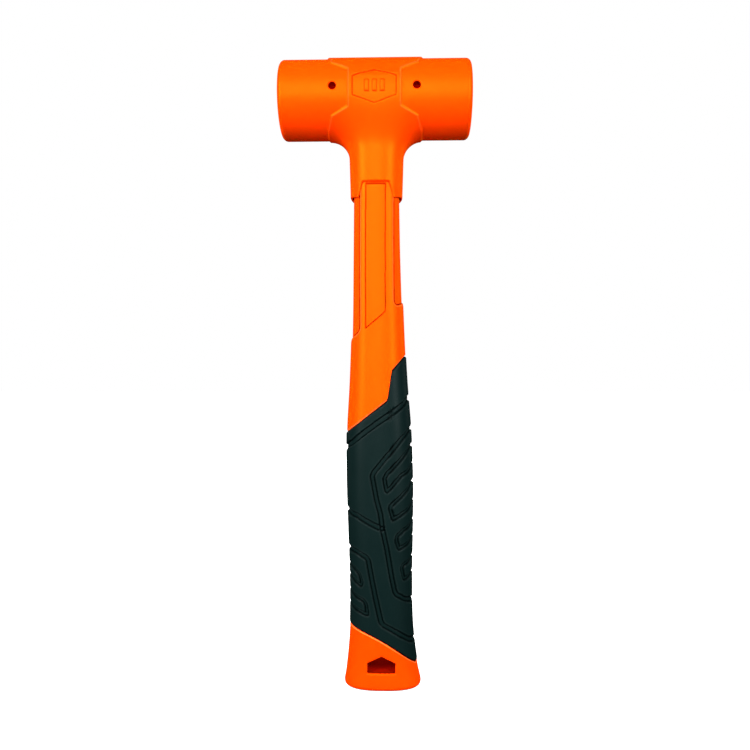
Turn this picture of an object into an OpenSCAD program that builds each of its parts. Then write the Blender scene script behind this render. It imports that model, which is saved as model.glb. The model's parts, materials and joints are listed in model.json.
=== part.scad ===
// Dead blow mallet: a steel canister of loose shot inside a moulded head, on a moulded handle
// with a steel core rod and a soft grip sleeve.
// Frame: +X along the striking axis, +Z up the handle, -Y out of the marked face, and the origin
// under the middle of the head at the underside of the butt.

/* [Overall] */
// Height from the underside of the butt to the top of the collar
mallet_h = 300; // [294:1:310]
// Clearance between pieces that sit inside one another
fit_gap = 0.04; // [0.03:0.01:0.06]

/* [Head] */
// Length of the head, striking face to striking face
head_l = 90; // [84:1:100]
// Diameter of the barrel
head_d = 37.2; // [36:0.2:38]
// Rounding of the rims of the striking faces
face_round = 2.5; // [1:0.1:4]
// How far the collar stands above the barrel
collar_rise = 0.7; // [0.6:0.1:1.4]
// Half width of the collar over the top of the barrel
collar_half = 23; // [22:0.5:25]
// Half width of the collar's waist, level with the barrel's axis
waist_half = 12.9; // [12.4:0.1:14]
// Distance of each mould locating hole from the middle of the head
locator_x = 19.5; // [18:0.5:24]
// Diameter of a mould locating hole
locator_d = 3.7; // [3:0.1:4.5]
// Depth of a mould locating hole below the barrel's surface
locator_depth = 3.9; // [2:0.1:4.1]
// Half width of the hexagonal panel across its upright sides
panel_half = 10.5; // [8:0.1:11]
// Depth of the hexagonal panel below the collar's surface
panel_depth = 0.5; // [0.3:0.1:0.7]

/* [Neck] */
// Half width of the neck sleeve along X
neck_half_w = 12.7; // [12.6:0.1:13]
// Half depth of the neck sleeve along Y
neck_half_d = 11.9; // [11.8:0.1:12.4]
// Radius of the fillet between neck and collar
neck_fillet = 9; // [6:0.5:9.5]
// Length of handle held in the open end of the neck sleeve
sleeve_grip = 9; // [6:0.5:10]

/* [Handle] */
// Radius of the round tenon at the top of the handle
tenon_r = 8.5; // [7:0.1:9]
// Squareness of the handle's section, where 2 is an ellipse
squareness = 2.5; // [2:0.1:3]
// Rounding of the butt's lower edge
butt_round = 2.5; // [1:0.1:3]
// Depth of the channel along the shaft's front and back
channel_depth = 0.7; // [0.4:0.1:1]
// Half width of the raised strip in the channel
strip_half = 4.6; // [3:0.1:6]
// Half width of the hang hole
hang_half = 6.6; // [4:0.1:7]
// Height of the hang hole from its sill to its peak
hang_h = 8.1; // [7:0.1:9]

/* [Grip] */
// Thickness of the grip sleeve
grip_wall = 2.6; // [2:0.1:3]
// How far the grip sleeve stands above the handle
grip_rise = 0.3; // [0:0.1:0.6]
// Clearance between the grip sleeve and the handle's core
grip_gap = 0.15; // [0.12:0.01:0.3]

/* [Steelwork] */
// Outer diameter of the canister
canister_d = 27; // [26.6:0.1:27]
// Length of the canister
canister_l = 64; // [62:1:64]
// Wall of the canister tube and its caps
canister_wall = 1.5; // [1.2:0.1:1.5]
// Diameter of the core rod
rod_d = 7; // [6:0.5:8]
// Outer diameter of the socket that joins the rod to the canister
socket_d = 14; // [13:0.5:15]

/* [Shot] */
// Diameter of one steel ball
ball_d = 4.8; // [4.6:0.1:4.8]
// Balls along each row
row_balls = 9; // [6:1:9]

/* [Hidden] */

$fn = 96;
barrel_r = head_d / 2;
collar_r = barrel_r + collar_rise;
axis_z = mallet_h - collar_r;
canister_r = canister_d / 2;
bore_r = canister_r - canister_wall;
rod_r = rod_d / 2;
socket_r = socket_d / 2;

// Heights along the neck and the steelwork
shaft_top = axis_z - 49.7;
sleeve_top = shaft_top + sleeve_grip;
tenon_top = axis_z - 27;
socket_bottom = tenon_top + 1.8;
rod_bottom = 34;
rod_top = axis_z - canister_r - 1;
anchor_z = 38;
anchor_h = 3;
anchor_r = 7;
spacer_z = 96;
spacer_h = 12;
spacer_r = 6;
weld_size = 1.5;
seam_rise = 0.6;
cap_skirt = 3;

// Collar
notch_low = 8.5;
notch_shoulder = 12.4;
notch_top = 17.2;
panel_side = 4.7;
panel_peak = 8.4;
mark_bar_w = 1.6;
mark_bar_h = 5;
mark_bar_step = 3.6;
lip_round = 0.4;
lip_height = 1.2;
mouth_half = 8.2;
mouth_top_half = 5.9;

// Shaft panel and grip edges
channel_half = 8;
channel_foot = 178;
strip_foot = 172;
strip_rise = 0.4;
hang_x = 2.7;
hang_sill = 8.7;
hang_shoulder = 4.8;
grip_edge_gap = 0.3;
ring_n = 44;

// Handle outline: height, reach to -X, reach to +X, half depth along Y
OUTLINE = [
    [0, 15.5, 22.0, 12.5],
    [10, 14.0, 19.8, 12.5],
    [29, 12.5, 17.6, 12.6],
    [52, 12.4, 17.1, 12.8],
    [75, 13.2, 17.5, 13.0],
    [98, 13.9, 17.6, 13.0],
    [122, 14.0, 16.7, 12.9],
    [145, 12.8, 14.9, 12.2],
    [170, 12.0, 13.6, 11.5],
    [205, 11.7, 12.5, 11.1],
    [axis_z - 40, 11.6, 12.1, 11.1]
];

function mix(a, b, t) = a * (1 - t) + b * t;
function clamp01(t) = min(1, max(0, t));
function eased(t) = let (c = clamp01(t)) c * c * (3 - 2 * c);
function signed_pow(v, e) = sign(v) * pow(abs(v), e);

// Smooth curve through column c of the outline, with even slopes at the stations
function slope(k, c) =
    let (a = OUTLINE[max(k - 1, 0)], b = OUTLINE[min(k + 1, len(OUTLINE) - 1)])
    (b[c] - a[c]) / (b[0] - a[0]);
function segment(z, k = 0) = k >= len(OUTLINE) - 2 || z <= OUTLINE[k + 1][0] ? k : segment(z, k + 1);
function reach(z, c) =
    let (
        k = segment(z),
        span = OUTLINE[k + 1][0] - OUTLINE[k][0],
        t = clamp01((z - OUTLINE[k][0]) / span),
        u = 1 - t
    )
    OUTLINE[k][c] * u * u * (1 + 2 * t) + OUTLINE[k + 1][c] * t * t * (1 + 2 * u)
    + span * t * u * (slope(k, c) * u - slope(k + 1, c) * t);

// Point i of a rounded section with the given reaches
function section_point(i, left, right, depth) =
    let (a = 360 * i / ring_n, p = 2 / squareness)
    [(right - left) / 2 + (right + left) / 2 * signed_pow(cos(a), p), depth * signed_pow(sin(a), p)];

// Point i of the handle's section at height z, pulled in by inset
function handle_point(i, z, inset) =
    section_point(i, reach(z, 1) - inset, reach(z, 2) - inset, reach(z, 3) - inset);

// Edge lines across the handle: just below the sleeve, both sloping grip edges and the butt's edge
TOP = 0;
GRIP_TOP = 1;
GRIP_FOOT = 2;
BUTT = 3;
function edge_z(edge, x) =
    edge == TOP ? shaft_top - 1 :
    edge == GRIP_TOP ? 132 + 0.77 * x + 12.5 * eased((x - 5.2) / 2.8) + 0.35 * max(x - 8, 0) :
    edge == GRIP_FOOT ? 25.3 - 0.5 * x - 0.011 * x * x :
    butt_round;

// Ring of handle points a share t of the way from one edge line to the next
function band_ring(upper, lower, t, inset) = [
    for (i = [0:ring_n - 1])
        let (
            z_up = edge_z(upper, handle_point(i, edge_z(upper, 0), 0).x),
            z_low = edge_z(lower, handle_point(i, edge_z(lower, 0), 0).x),
            z = mix(z_up, z_low, t),
            p = handle_point(i, z, inset)
        )
        [p.x, p.y, z]
];
function flat_ring(z, inset) = [
    for (i = [0:ring_n - 1])
        let (p = handle_point(i, z, inset))
        [p.x, p.y, z]
];

// Side faces between each ring and the next, for rings listed from the top down.
// A tube lists its inner rings down and its outer rings up, and its faces turn the other way.
function side_faces(count, tube = false) = [
    for (k = [0:count - (tube ? 1 : 2)], i = [0:ring_n - 1])
        let (
            a = k * ring_n + i,
            b = k * ring_n + (i + 1) % ring_n,
            c = ((k + 1) % count) * ring_n + i,
            d = ((k + 1) % count) * ring_n + (i + 1) % ring_n
        )
        each (tube ? [[a, d, b], [a, c, d]] : [[a, b, d], [a, d, c]])
];

module ring_solid(rings) {
    last = (len(rings) - 1) * ring_n;
    top_cap = [for (i = [ring_n - 1:-1:0]) i];
    foot_cap = [for (i = [0:ring_n - 1]) last + i];
    polyhedron([for (ring = rings) each ring], concat(side_faces(len(rings)), [top_cap], [foot_cap]));
}

module ring_tube(rings) {
    polyhedron([for (ring = rings) each ring], side_faces(len(rings), tube = true));
}

// Cylinder along X, centred on the head's axis
module axial(r, l) {
    translate([0, 0, axis_z]) rotate([0, 90, 0]) cylinder(r = r, h = l, center = true);
}

module upright(r, z0, z1) {
    translate([0, 0, z0]) cylinder(r = r, h = z1 - z0);
}

// Flat shape drawn in X and Z, cut from the front (side = -1) or the back (side = 1)
module facing(side, y0, y1) {
    rotate([90, 0, 0])
        translate([0, 0, side < 0 ? y0 : -y1])
        linear_extrude(y1 - y0) children();
}

// ---- Head ----

module barrel() {
    straight = head_l / 2 - face_round;
    translate([0, 0, axis_z]) rotate([0, 90, 0]) rotate_extrude() {
        translate([0, -head_l / 2]) square([barrel_r - face_round, head_l]);
        translate([0, -straight]) square([barrel_r, 2 * straight]);
        for (end = [-straight, straight]) translate([barrel_r - face_round, end]) circle(face_round);
    }
}

// Outline of the collar's cut-back flank, drawn about the head's axis
module collar_flank(side) {
    far = collar_half + 5;
    shoulder = collar_half - 2.3;
    polygon([
        for (p = [
            [far, notch_top], [collar_half - 0.4, notch_top], [shoulder, notch_shoulder],
            [waist_half, notch_low], [waist_half, -notch_low], [shoulder, -notch_shoulder],
            [collar_half - 0.4, -notch_top], [far, -notch_top]
        ]) [side * p.x, p.y]
    ]);
}

module collar() {
    difference() {
        axial(collar_r, 2 * collar_half);
        translate([0, 0, axis_z]) for (side = [-1, 1], flank = [-1, 1])
            facing(side, 0, collar_r + 1) collar_flank(flank);
    }
}

// Unit vector from the fillet's rolling ball towards the neck (t = 0) and round to the barrel (t = 1)
function unit(v) = v / norm(v);
function fillet_point(i, t) =
    let (
        p = section_point(i, neck_half_w, neck_half_w, neck_half_d),
        out = unit([p.x / pow(neck_half_w, 2), p.y / pow(neck_half_d, 2)]),
        ball = p + neck_fillet * out,
        reach_r = collar_r + neck_fillet - 0.3,
        drop = sqrt(reach_r * reach_r - ball.y * ball.y),
        to_neck = [-out.x, -out.y, 0],
        to_barrel = [0, -ball.y, drop] / reach_r
    )
    [ball.x, ball.y, axis_z - drop] + neck_fillet * unit(mix(to_neck, to_barrel, t));

function neck_ring(z, inset) = [
    for (i = [0:ring_n - 1])
        let (p = section_point(i, neck_half_w - inset, neck_half_w - inset, neck_half_d - inset))
        [p.x, p.y, z]
];

module neck() {
    steps = 7;
    ring_solid(concat(
        [neck_ring(axis_z - 8, neck_half_d / 2)],
        [for (k = [steps:-1:0]) [for (i = [0:ring_n - 1]) fillet_point(i, k / steps)]],
        [neck_ring(shaft_top + lip_height, 0), neck_ring(shaft_top, lip_round)]
    ));
}

// Opening in the front or back of the sleeve's lower edge
module sleeve_mouth(side) {
    facing(side, neck_half_d / 2, neck_half_d + 2) polygon([
        [-mouth_half, shaft_top - 1], [-mouth_half, shaft_top],
        [-mouth_top_half, sleeve_top - 1], [mouth_top_half, sleeve_top - 1],
        [mouth_half, shaft_top], [mouth_half, shaft_top - 1]
    ]);
}

module panel_outline() {
    polygon([
        [-panel_half, -panel_side], [0, -panel_peak], [panel_half, -panel_side],
        [panel_half, panel_side], [0, panel_peak], [-panel_half, panel_side]
    ]);
}

// Hexagonal panel sunk into the collar's face
module panel_recess(side) {
    translate([0, 0, axis_z]) difference() {
        facing(side, barrel_r - 4, collar_r + 1) panel_outline();
        rotate([0, 90, 0]) cylinder(r = collar_r - panel_depth, h = head_l, center = true);
    }
}

// Row of plain raised bars in the front panel
module mark_bars() {
    translate([0, 0, axis_z]) intersection() {
        rotate([0, 90, 0]) cylinder(r = collar_r - 0.1, h = head_l, center = true);
        for (k = [-1:1]) translate([k * mark_bar_step, 0])
            facing(-1, barrel_r - 1, collar_r) square([mark_bar_w, mark_bar_h], center = true);
    }
}

module head_cover() color([0.98, 0.42, 0.02]) {
    difference() {
        union() {
            barrel();
            collar();
            neck();
        }
        axial(canister_r + fit_gap, canister_l + 2 * (seam_rise + 2 * fit_gap));
        ring_solid([flat_ring(sleeve_top + fit_gap, -fit_gap), flat_ring(shaft_top - 1, -fit_gap)]);
        upright(tenon_r + fit_gap, sleeve_top - 1, tenon_top + fit_gap);
        upright(rod_r + weld_size + 1, tenon_top, socket_bottom);
        upright(socket_r + fit_gap, socket_bottom - fit_gap, axis_z);
        saddle_bead(fit_gap);
        for (side = [-1, 1]) {
            panel_recess(side);
            sleeve_mouth(side);
            for (x = [-locator_x, locator_x]) translate([x, 0, axis_z])
                facing(side, barrel_r - locator_depth, barrel_r + 1) circle(d = locator_d);
        }
    }
    mark_bars();
}

// ---- Handle ----

// Panel sunk into the front and back of the shaft, open to the sleeve above
module channel_cut(side) {
    face = reach(channel_foot, 3);
    facing(side, face - channel_depth, face + 2) polygon([
        [-channel_half, sleeve_top + 1], [channel_half, sleeve_top + 1],
        [channel_half, channel_foot + 4], [channel_half - 4, channel_foot],
        [4 - channel_half, channel_foot - 6], [-channel_half, channel_foot - 10]
    ]);
}

// Raised strip along the middle of the channel
module channel_strip(side) {
    face = reach(channel_foot, 3) - channel_depth;
    facing(side, face - 1, face + strip_rise) polygon([
        [-strip_half, sleeve_top - 1.3], [strip_half, sleeve_top - 1.3],
        [strip_half, strip_foot + 7], [-strip_half, strip_foot]
    ]);
}

// House-shaped hole to hang the mallet by
module hang_hole() {
    rotate([90, 0, 0]) linear_extrude(4 * hang_half, center = true) polygon([
        [hang_x - hang_half, hang_sill], [hang_x + hang_half, hang_sill],
        [hang_x + hang_half, hang_sill + hang_shoulder], [hang_x, hang_sill + hang_h],
        [hang_x - hang_half, hang_sill + hang_shoulder]
    ]);
}

module handle_loft() {
    ring_solid(concat(
        [flat_ring(sleeve_top, 0)],
        [for (k = [0:14]) band_ring(TOP, GRIP_TOP, k / 14, 0)],
        [for (k = [0:12]) band_ring(GRIP_TOP, GRIP_FOOT, k / 12, grip_wall)],
        [for (k = [0:3]) band_ring(GRIP_FOOT, BUTT, k / 3, 0)],
        [for (a = [30:30:90]) flat_ring(butt_round * (1 - sin(a)), butt_round * (1 - cos(a)))]
    ));
}

module handle_body() color([0.98, 0.40, 0.02]) {
    difference() {
        handle_loft();
        for (side = [-1, 1]) channel_cut(side);
        rod_cavity();
        hang_hole();
    }
    for (side = [-1, 1]) channel_strip(side);
    difference() {
        upright(tenon_r, sleeve_top - 1, tenon_top);
        rod_cavity();
    }
}

module grip_sleeve() color([0.09, 0.13, 0.13]) {
    eps = grip_edge_gap / (edge_z(GRIP_TOP, 0) - edge_z(GRIP_FOOT, 0));
    inner = [
        for (k = [0:12])
            band_ring(GRIP_TOP, GRIP_FOOT, mix(eps, 1 - eps, k / 12), grip_wall - grip_gap)
    ];
    outer = [
        for (k = [24:-1:0])
            band_ring(GRIP_TOP, GRIP_FOOT, mix(eps, 1 - eps, k / 24), -grip_rise)
    ];
    ring_tube(concat(inner, outer));
}

// ---- Steelwork inside ----

module canister_tube() color([0.62, 0.64, 0.66]) difference() {
    axial(canister_r, canister_l);
    axial(bore_r, canister_l + 2);
}

// Pressed cup with its rim flush with the end of the tube and its floor towards the shot
module canister_cap(side) {
    cup_r = bore_r - fit_gap / 2;
    translate([side * canister_l / 2, 0, axis_z]) rotate([0, -90 * side, 0]) rotate_extrude() {
        translate([0, cap_skirt - canister_wall]) square([cup_r, canister_wall]);
        translate([cup_r - canister_wall, 0]) square([canister_wall, cap_skirt]);
    }
}
module canister_cap_left() color([0.58, 0.60, 0.62]) canister_cap(-1);
module canister_cap_right() color([0.58, 0.60, 0.62]) canister_cap(1);

// Weld bead laid over the joint of tube and cap
module seam_weld(side) {
    translate([side * (canister_l / 2 + fit_gap / 2), 0, axis_z])
        rotate([0, 90 * side, 0]) rotate_extrude() intersection() {
            translate([bore_r, 0]) scale(seam_rise) circle(1);
            translate([0, 0]) square([canister_r, seam_rise]);
        }
}
module seam_weld_left() color([0.45, 0.46, 0.48]) seam_weld(-1);
module seam_weld_right() color([0.45, 0.46, 0.48]) seam_weld(1);

// Upright boss whose top is cut to the canister's curve
module core_socket() color([0.55, 0.57, 0.60]) difference() {
    upright(socket_r, socket_bottom, axis_z - canister_r + 5);
    axial(canister_r + fit_gap / 2, 4 * socket_r);
    upright(rod_r + fit_gap / 2, socket_bottom - 1, rod_top + fit_gap);
}

// Weld bead around the socket where it meets the canister
module saddle_bead(grow) {
    intersection() {
        upright(socket_r + weld_size + grow, socket_bottom + 2, axis_z);
        axial(canister_r + weld_size + grow, 4 * socket_r);
    }
}
module saddle_weld() color([0.45, 0.46, 0.48]) difference() {
    saddle_bead(0);
    axial(canister_r + fit_gap / 2, 5 * socket_r);
    upright(socket_r + fit_gap / 2, 0, axis_z);
}

module handle_rod() color([0.60, 0.62, 0.65]) upright(rod_r, rod_bottom, rod_top);

// Fillet weld between the rod and the underside of its socket
module rod_weld() color([0.45, 0.46, 0.48]) {
    inner = rod_r + fit_gap / 2;
    top = socket_bottom - fit_gap / 2;
    rotate_extrude() polygon([[inner, top - weld_size], [inner + weld_size, top], [inner, top]]);
}

// Bush that centres the free end of the rod in the handle
module rod_spacer() color([0.85, 0.85, 0.80]) difference() {
    upright(spacer_r, spacer_z, spacer_z + spacer_h);
    upright(rod_r + fit_gap / 2, spacer_z - 1, spacer_z + spacer_h + 1);
}

// Washer that stops the handle from pulling off the rod
module rod_anchor() color([0.50, 0.52, 0.55]) difference() {
    upright(anchor_r, anchor_z, anchor_z + anchor_h);
    upright(rod_r + fit_gap / 2, anchor_z - 1, anchor_z + anchor_h + 1);
}

// Space that the rod, its bush and its washer take up in the handle
module rod_cavity() {
    upright(rod_r + fit_gap, rod_bottom - fit_gap, tenon_top + 1);
    upright(spacer_r + fit_gap, spacer_z - fit_gap, spacer_z + spacer_h + fit_gap);
    upright(anchor_r + fit_gap, anchor_z - fit_gap, anchor_z + anchor_h + fit_gap);
}

// ---- Loose shot ----

// One level of balls: rows along X, set side by side across the canister
module shot_layer(level) {
    pitch = ball_d + 0.1;
    floor_h = -sqrt(pow(bore_r - ball_d / 2 - 0.06, 2) - pow(pitch / 2, 2));
    across = level == 1 ? 2 : 4;
    for (i = [0:row_balls - 1], j = [0:across - 1]) translate([
        (i - (row_balls - 1) / 2) * pitch,
        (j - (across - 1) / 2) * pitch,
        axis_z + floor_h + (level - 1) * (ball_d + 0.05)
    ]) sphere(d = ball_d);
}
module shot_layer_1() color([0.70, 0.71, 0.73]) shot_layer(1);
module shot_layer_2() color([0.70, 0.71, 0.73]) shot_layer(2);
module shot_layer_3() color([0.70, 0.71, 0.73]) shot_layer(3);
module shot_layer_4() color([0.70, 0.71, 0.73]) shot_layer(4);

head_cover();
handle_body();
grip_sleeve();
canister_tube();
canister_cap_left();
canister_cap_right();
seam_weld_left();
seam_weld_right();
core_socket();
saddle_weld();
handle_rod();
rod_weld();
rod_spacer();
rod_anchor();
shot_layer_1();
shot_layer_2();
shot_layer_3();
shot_layer_4();
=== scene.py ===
"""Looks for a dead blow mallet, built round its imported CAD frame.

Shapes are worked out in millimetres in the frame of the CAD part: +X along the striking axis, +Z up
the handle, and -Y out of the face with the hexagonal panel. Three visible mouldings are built here as
dense meshes. The steelwork and shot inside keep their CAD shapes and get their materials here.
"""

import json
import math

import bpy
import numpy as np
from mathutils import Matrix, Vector


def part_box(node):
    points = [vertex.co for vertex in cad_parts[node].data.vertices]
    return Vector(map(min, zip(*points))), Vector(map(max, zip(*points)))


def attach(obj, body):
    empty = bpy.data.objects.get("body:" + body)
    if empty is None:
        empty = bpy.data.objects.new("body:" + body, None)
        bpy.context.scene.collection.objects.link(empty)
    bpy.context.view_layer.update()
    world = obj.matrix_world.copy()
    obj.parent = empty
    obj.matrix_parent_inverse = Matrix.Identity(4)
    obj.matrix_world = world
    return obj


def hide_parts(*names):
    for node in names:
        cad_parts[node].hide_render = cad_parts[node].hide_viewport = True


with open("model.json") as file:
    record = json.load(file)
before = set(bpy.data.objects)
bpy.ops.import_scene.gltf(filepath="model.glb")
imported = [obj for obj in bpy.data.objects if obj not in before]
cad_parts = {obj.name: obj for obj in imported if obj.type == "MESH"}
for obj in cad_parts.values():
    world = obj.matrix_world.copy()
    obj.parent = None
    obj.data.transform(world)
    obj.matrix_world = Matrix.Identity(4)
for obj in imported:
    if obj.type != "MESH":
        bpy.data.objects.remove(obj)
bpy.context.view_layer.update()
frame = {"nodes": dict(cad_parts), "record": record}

MM = 0.001


# ---- Sizes, in millimetres ----


def box_mm(node):
    low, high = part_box(node)
    return np.array(low) / MM, np.array(high) / MM


head_high = box_mm("head_cover")[1]
canister_low, canister_high = box_mm("canister_tube")
rod_low, rod_high = box_mm("handle_rod")
anchor_low, anchor_high = box_mm("rod_anchor")
spacer_low, spacer_high = box_mm("rod_spacer")
socket_low, socket_high = box_mm("core_socket")
handle_high = box_mm("handle_body")[1]

AXIS_Z = (canister_low[2] + canister_high[2]) / 2

# The drawn head is a little longer than its CAD solid, and sits a little higher and to -X
HEAD_EXTRA = 0.3
HEAD_LIFT = 0.3
HEAD_X = -0.35
HEAD_HALF = head_high[0] + HEAD_EXTRA
HEAD_Z = AXIS_Z + HEAD_LIFT
COLLAR_RISE = 0.7
COLLAR_R = 19.3
BARREL_R = COLLAR_R - COLLAR_RISE
FACE_ROUND = 2.5
CANISTER_R = (canister_high[2] - canister_low[2]) / 2
CANISTER_HALF = canister_high[0]
SOCKET_R = socket_high[0]
SOCKET_FOOT = socket_low[2]
ROD_R = rod_high[0]
FIT = 0.04

NECK_REACH = 49.7
SLEEVE_LAP = 9
SHAFT_TOP = AXIS_Z - NECK_REACH
SLEEVE_TOP = SHAFT_TOP + SLEEVE_LAP
TENON_TOP = handle_high[2]
TENON_R = 8.5
NECK_X = 0.2
NECK_W = 12.4
NECK_D = 11.9
NECK_DRAFT = 0.03
NECK_FILLET = 9.5
NECK_POWER = 2.4
LIP_ROUND = 0.6

# Rise of the sleeve's foot from the front to the sides, and how far the foot bites into the shaft
LIP_LIFT = 2.2
LIP_BITE = 0.3

HANDLE_POWER = 2.5
BUTT_ROUND = 2.5
GRIP_WALL = 2.6
GRIP_RISE = 0.3
GRIP_GAP = 0.28
GRIP_LENGTH = 110
SEAM_ROUND = 0.6

# Handle outline: height, reach to -X, reach to +X, half depth along Y
OUTLINE = np.array([
    (0, 15.5, 22.0, 12.5),
    (10, 14.0, 19.8, 12.5),
    (29, 12.5, 17.6, 12.6),
    (52, 12.4, 17.1, 12.8),
    (75, 13.2, 17.5, 13.0),
    (98, 13.9, 17.6, 13.0),
    (122, 14.0, 16.7, 12.9),
    (145, 12.8, 14.9, 12.2),
    (170, 12.0, 13.6, 11.5),
    (205, 11.65, 12.4, 11.1),
    (AXIS_Z - 40, 11.4, 11.8, 11.1),
])

# Collar edge over a quarter of the barrel: height along the arc above or below the axis, half width
COLLAR_EDGE = [(0, 12.9), (8.75, 12.9), (13.4, 20.7), (21.4, 22.6), (30.4, 23.0)]
PANEL = [(-10.6, -4.5), (0, -8.2), (10.4, -4.5), (10.4, 4.9), (0, 8.6), (-10.6, 4.9)]
PANEL_DEPTH = 0.7
MARK_BARS = [-3.6, 0.0, 3.6]
MARK_BAR_HALF = (0.8, 2.5)
LOCATOR_X = 19.5
LOCATOR_LIFT = 0.3
LOCATOR_Z = HEAD_Z + LOCATOR_LIFT
LOCATOR_R = 1.85
LOCATOR_DEPTH = 3.9
MOUTH = [(-8.3, SHAFT_TOP - 4), (8.3, SHAFT_TOP - 4), (8.3, SHAFT_TOP), (5.9, SHAFT_TOP + 7.6),
         (-5.9, SHAFT_TOP + 7.6), (-8.3, SHAFT_TOP)]

# Hang hole, a house shape in X and Z
HANG_HOLE = [(-3.9, 8.7), (9.3, 8.7), (9.3, 13.5), (2.7, 16.8), (-3.9, 13.5)]
HANG_ROUND = 0.5
# Strength of the painted shade on the walls of the hang hole
HOLE_SHADE = 1.0

# Heights between which the hang hole is cut, and how far from the middle the faces it cuts lie
HOLE_BAND = (4, 24)
HOLE_FACE = 8

# Rows of points down each stretch of the handle and grip, and points round them
TOP_ROWS = 28
SHAFT_ROWS = 300
SEAT_ROWS = 16
BUTT_ROWS = 62
HANDLE_RING = 228
GRIP_ROWS = 306
GRIP_INNER_ROWS = 14
GRIP_RING = 276

# Grid steps of the head's skin and of its cavity, and how far from each the exact shape is used
SKIN_STEP = 0.41
SKIN_REACH = 1.9
CAVITY_STEP = 0.9
CAVITY_REACH = 2.0

# Grooves of the grip, front and back alike: half width, then centre line in X and Z
GRIP_GROOVES = [
    (1.15, [(17.5, 138.4), (14.6, 136.2), (2.6, 127.1), (-2.9, 123.1), (-10.6, 116.9), (-15.5, 112.6)]),
    (0.95, [(19.0, 124.2), (14.9, 121.4), (11.3, 117.4), (4.3, 109.2), (-0.7, 102.9), (-1.5, 101.0),
            (0.5, 90.1), (2.4, 83.1), (3.2, 76.5)]),
    (1.1, [(-16.0, 85.2), (-8.6, 82.4), (-3.3, 79.5), (2.6, 76.6)]),
    (0.95, [(3.2, 76.5), (5.2, 67.4), (7.7, 52.8), (9.0, 47.0), (9.8, 45.7), (13.5, 43.2), (19.0, 39.8)]),
    (1.0, [(-16.0, 66.0), (-9.5, 65.7), (-4.3, 63.1), (-3.3, 61.6), (-1.8, 53.4), (0.2, 43.5),
           (2.5, 33.2), (3.4, 31.7), (6.6, 29.9), (11.8, 26.6), (15.6, 23.8), (21.0, 20.4)]),
    (0.75, [(19.0, 115.6), (15.7, 113.9), (5.4, 102.3), (4.1, 99.9), (5.0, 94.9), (5.3, 93.9),
            (11.5, 100.8), (19.0, 108.0)]),
    (0.75, [(19.5, 98.6), (16.7, 96.9), (8.9, 88.8), (6.9, 87.2), (6.9, 85.3), (8.3, 80.9), (19.5, 90.6)]),
    (0.75, [(19.5, 81.2), (12.6, 75.2), (10.0, 73.0), (9.7, 71.0), (11.0, 66.9), (19.5, 73.4)]),
    (0.75, [(19.5, 63.2), (12.9, 59.3), (12.2, 57.7), (13.3, 52.5), (19.5, 55.4)]),
    (0.7, [(-15.0, 59.4), (-9.9, 57.2), (-7.6, 54.9), (-6.4, 51.3), (-6.9, 49.5), (-10.3, 51.9),
           (-15.0, 54.0)]),
    (0.7, [(-15.0, 47.0), (-10.4, 44.9), (-5.4, 42.6), (-4.4, 41.0), (-3.7, 36.2), (-10.2, 38.6),
           (-15.0, 40.6)]),
]

# Depth of a groove by distance in from its outline, and how much deeper and wider it is at the sides
GROOVE_PROFILE = [(-0.24, 0), (0, 1.0), (0.27, 0.6)]
GROOVE_SIDE_GAIN = 0.3
NOTCH_SPREAD = 1.6

# Distance in from an outline at which its painted dark line comes on, the length over which it
# goes off, and the band outside it that gets a painted highlight
LINE_START = (-0.36, -0.05)
LINE_FADE = 0.25
EDGE_HIGHLIGHT_BAND = (-1.0, -0.85, -0.4, -0.3)

# Painted light by distance from the seams between the grip and the handle: painted shade at
# the seam itself, then a painted highlight on the lip beside it
SEAM_EDGE = (0.1, 0.25, 0.35, 0.5, 0.75)
SEAM_PAINTED_LIGHT = (0.5, 0.3, -1, -1, 0)

# Rail grooves of the shaft and the outline of its middle strip
RAILS = [
    [(-7.6, SLEEVE_TOP), (-7.6, 169.8), (-8.7, 168.0), (-14.0, 164.6)],
    [(8.7, SLEEVE_TOP), (8.8, 182.8), (9.9, 181.0), (15.0, 183.6)],
]
RAIL_PROFILE = [(-1.2, 0), (-0.22, 0.1), (0, 0.45), (0.22, 0.38)]
STRIP = [(-4.65, SLEEVE_TOP - 1.9), (4.65, SLEEVE_TOP - 1.9), (4.65, 178.4), (3.4, 176.9), (-4.65, 170.2)]
STRIP_PROFILE = [(-0.22, 0), (0, 0.55), (0.22, 0)]


# ---- Small maths ----


def ease(low, high, value):
    t = np.clip((value - low) / (high - low), 0, 1)
    return t * t * (3 - 2 * t)


def signed_power(value, power):
    return np.sign(value) * np.abs(value) ** power


def segment_distance(px, py, a, b):
    """Distance from each point to the straight line from a to b."""
    ax, ay = a
    dx, dy = b[0] - ax, b[1] - ay
    t = np.clip(((px - ax) * dx + (py - ay) * dy) / (dx * dx + dy * dy), 0, 1)
    return np.hypot(px - ax - t * dx, py - ay - t * dy)


def path_distance(px, py, points):
    best = segment_distance(px, py, points[0], points[1])
    for a, b in zip(points[1:], points[2:]):
        best = np.minimum(best, segment_distance(px, py, a, b))
    return best


def inside_distance(px, py, corners):
    """Distance to a closed outline, positive inside it and negative outside."""
    best = path_distance(px, py, list(corners) + [corners[0]])
    inside = np.zeros(np.shape(px), bool)
    for (ax, ay), (bx, by) in zip(corners, list(corners[1:]) + [corners[0]]):
        if ay == by:
            continue
        crosses = (ay > py) != (by > py)
        inside ^= crosses & (px < (bx - ax) * (py - ay) / (by - ay) + ax)
    return np.where(inside, best, -best)


# ---- Handle surface ----


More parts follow.
